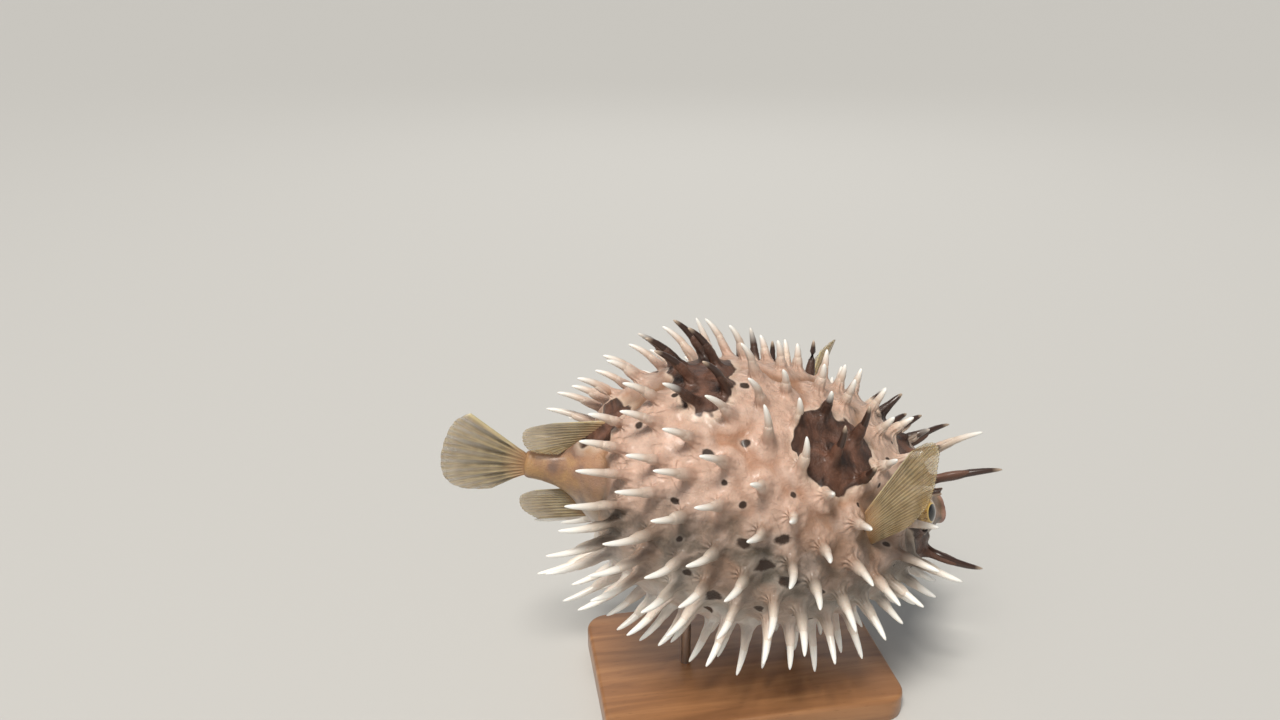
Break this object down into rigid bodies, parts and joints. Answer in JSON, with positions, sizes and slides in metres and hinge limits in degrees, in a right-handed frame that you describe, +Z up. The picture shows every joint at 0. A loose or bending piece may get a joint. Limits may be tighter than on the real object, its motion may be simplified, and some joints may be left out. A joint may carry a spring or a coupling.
{
  "type": "porcupinefish on a display stand",
  "caption": "Puffed-up long-spine porcupinefish, life size, round spiny body with rayed fins, big eyes and a beak, held nose down on a flat base by rods.",
  "frame": {"origin": "middle of the stand's underside, on the surface that it stands on", "axes": "+X towards the fish's mouth, +Y towards its left side, +Z up"},
  "size_m": [0.3162, 0.2048, 0.2358],
  "materials": {
    "skin": "moist fish skin, tan above and white below, with dark brown blotches and spots",
    "fin": "thin translucent fin skin over bony rays",
    "beak": "tooth enamel",
    "eye": "wet and glossy, golden iris round a black pupil",
    "base": "warm brown beech under a satin lacquer",
    "rod": "brushed"
  },
  "bodies": {
    "root": {"head": "skin", "trunk": "skin", "tail": "skin", "caudal_fin": "fin", "dorsal_fin": "fin", "anal_fin": "fin", "pectoral_fin_left": "fin", "pectoral_fin_right": "fin", "beak_upper": "beak", "beak_lower": "beak", "eye_left": "eye", "eye_right": "eye", "stand_base": "base", "stand_rod_front": "rod", "stand_rod_rear": "rod"}
  },
  "joints": []
}
